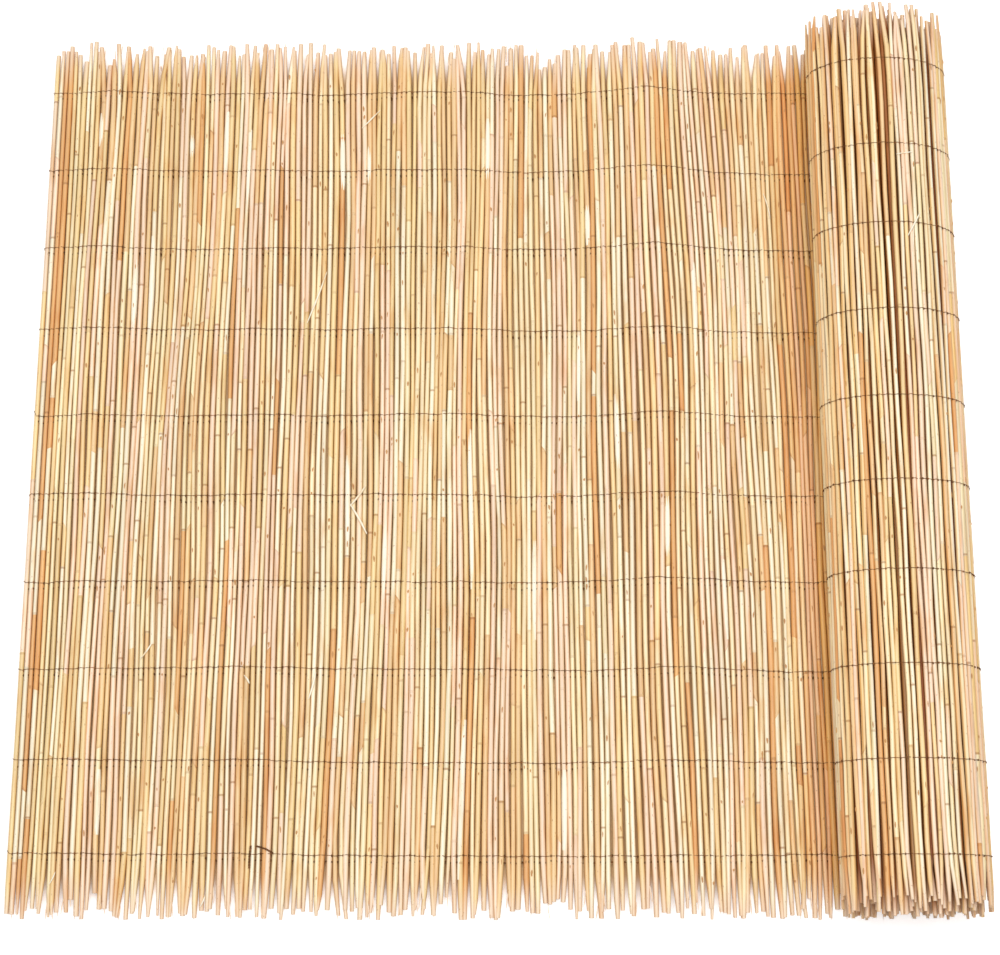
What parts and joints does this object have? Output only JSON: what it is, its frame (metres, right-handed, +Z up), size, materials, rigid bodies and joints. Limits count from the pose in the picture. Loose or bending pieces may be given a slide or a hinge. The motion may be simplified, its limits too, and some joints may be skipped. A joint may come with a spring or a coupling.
{
  "type": "reed screening roll",
  "caption": "Natural reed screening laid side by side on stitched wire rows, partly unrolled from an oval roll.",
  "frame": {"origin": "on the floor, under the middle of the whole piece's box", "axes": "+X from the mat's free edge to the roll, +Y along the reeds away from the viewer, +Z up"},
  "size_m": [1.0342, 1.012, 0.1143],
  "materials": {
    "reed": "matt dried reed",
    "wire": "dark annealed wire"
  },
  "bodies": {
    "root": {"reeds_01": "reed", "reeds_02": "reed", "reeds_03": "reed", "reeds_04": "reed", "reeds_05": "reed", "reeds_06": "reed", "rolled_screen": "reed", "face_wire_01": "wire", "face_wire_02": "wire", "face_wire_03": "wire", "face_wire_04": "wire", "face_wire_05": "wire", "face_wire_06": "wire", "face_wire_07": "wire", "face_wire_08": "wire", "face_wire_09": "wire", "face_wire_10": "wire", "back_wire_01": "wire", "back_wire_02": "wire", "back_wire_03": "wire", "back_wire_04": "wire", "back_wire_05": "wire", "back_wire_06": "wire", "back_wire_07": "wire", "back_wire_08": "wire", "back_wire_09": "wire", "back_wire_10": "wire", "roll_wire_01": "wire", "roll_wire_02": "wire", "roll_wire_03": "wire", "roll_wire_04": "wire", "roll_wire_05": "wire", "roll_wire_06": "wire", "roll_wire_07": "wire", "roll_wire_08": "wire", "roll_wire_09": "wire", "roll_wire_10": "wire"}
  },
  "joints": []
}
